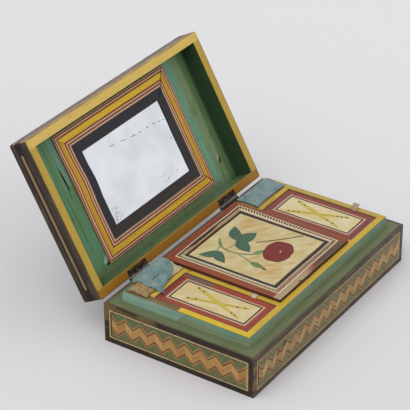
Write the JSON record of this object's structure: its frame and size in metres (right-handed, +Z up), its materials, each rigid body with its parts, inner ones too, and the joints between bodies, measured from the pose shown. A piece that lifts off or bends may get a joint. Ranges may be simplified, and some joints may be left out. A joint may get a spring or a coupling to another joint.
{
  "type": "sewing box",
  "caption": "Low sewing box with a hinged mirror lid, lift-out inner covers over compartments, two small pincushions and zigzag straw marquetry.",
  "frame": {"origin": "middle of the underside of the box", "axes": "+X along the width, -Y towards the front, +Y towards the hinges, +Z up"},
  "size_m": [0.27, 0.2625, 0.1847],
  "materials": {
    "painted_board": "softwood board painted dark green",
    "bare_board": "thin planed softwood",
    "green_straw": "dyed split straw, satin",
    "ochre_straw": "split straw, satin",
    "tan_straw": "split straw, satin",
    "yellow_straw": "split straw, satin",
    "rim_straw": "split straw, satin",
    "dark_straw": "dyed split straw, satin",
    "red_straw": "dyed split straw, satin",
    "black_straw": "dyed split straw, satin",
    "cream_straw": "bleached split straw, satin",
    "frame_straw": "split straw on a softwood moulding, satin",
    "backing_card": "grey-brown pasteboard",
    "mirror": "old silvered glass",
    "hinge_metal": "dark sheet iron, worn bright on the knuckles",
    "silk": "faded blue silk over a stuffed pad",
    "ribbon": "woven silk ribbon"
  },
  "bodies": {
    "box": {"box_bottom": "painted_board", "wall_front": "painted_board", "wall_back": "painted_board", "wall_left": "painted_board", "wall_right": "painted_board", "lining_front": "painted_board", "lining_back": "painted_board", "lining_left": "painted_board", "lining_right": "painted_board", "partition_left": "painted_board", "partition_right": "painted_board", "cross_partition_left": "painted_board", "cross_partition_right": "painted_board", "cover_ledges": "bare_board", "straw_edging": "yellow_straw", "panel_front": "green_straw", "panel_back": "green_straw", "panel_left": "green_straw", "panel_right": "green_straw", "zigzag_front": "ochre_straw", "zigzag_back": "ochre_straw", "zigzag_left": "ochre_straw", "zigzag_right": "ochre_straw", "box_stringing": "tan_straw", "left_box_leaf": "hinge_metal", "right_box_leaf": "hinge_metal", "box_leaf_nails": "hinge_metal", "hinge_pins": "hinge_metal"},
    "lid": {"lid_top": "dark_straw", "lid_wall_front": "painted_board", "lid_wall_back": "painted_board", "lid_wall_left": "painted_board", "lid_wall_right": "painted_board", "lid_rim_straw": "rim_straw", "lid_stringing": "tan_straw", "mirror_frame_front": "frame_straw", "mirror_frame_back": "frame_straw", "mirror_frame_left": "frame_straw", "mirror_frame_right": "frame_straw", "mirror_card": "backing_card", "mirror_glass": "mirror", "left_lid_leaf": "hinge_metal", "right_lid_leaf": "hinge_metal", "lid_leaf_nails": "hinge_metal"},
    "centre_cover": {"centre_cover_board": "bare_board", "centre_cover_border": "red_straw", "centre_cover_stringing": "black_straw", "centre_cover_panel": "cream_straw"},
    "left_cover": {"left_cover_board": "bare_board", "left_cover_border": "red_straw", "left_cover_panel": "cream_straw", "left_cover_tab": "ribbon"},
    "right_cover": {"right_cover_board": "bare_board", "right_cover_border": "red_straw", "right_cover_panel": "cream_straw", "right_cover_tab": "ribbon"},
    "left_pincushion": {"left_pincushion_board": "bare_board", "left_pincushion_pad": "silk"},
    "right_pincushion": {"right_pincushion_board": "bare_board", "right_pincushion_pad": "silk"}
  },
  "joints": [
    {"name": "lid_hinge", "type": "hinge", "parent": "box", "child": "lid", "pos_m": [0, 0.0828, 0.04155], "axis": [-1, 0, 0], "range_deg": [-119, 0]},
    {"name": "centre_cover_lift", "type": "slide", "parent": "box", "child": "centre_cover", "axis": [0, 0, 1], "range_m": [0, 0.04]},
    {"name": "left_cover_lift", "type": "slide", "parent": "box", "child": "left_cover", "axis": [0, 0, 1], "range_m": [0, 0.04]},
    {"name": "right_cover_lift", "type": "slide", "parent": "box", "child": "right_cover", "axis": [0, 0, 1], "range_m": [0, 0.04]},
    {"name": "left_pincushion_lift", "type": "slide", "parent": "box", "child": "left_pincushion", "axis": [0, 0, 1], "range_m": [0, 0.04]},
    {"name": "right_pincushion_lift", "type": "slide", "parent": "box", "child": "right_pincushion", "axis": [0, 0, 1], "range_m": [0, 0.04]}
  ]
}
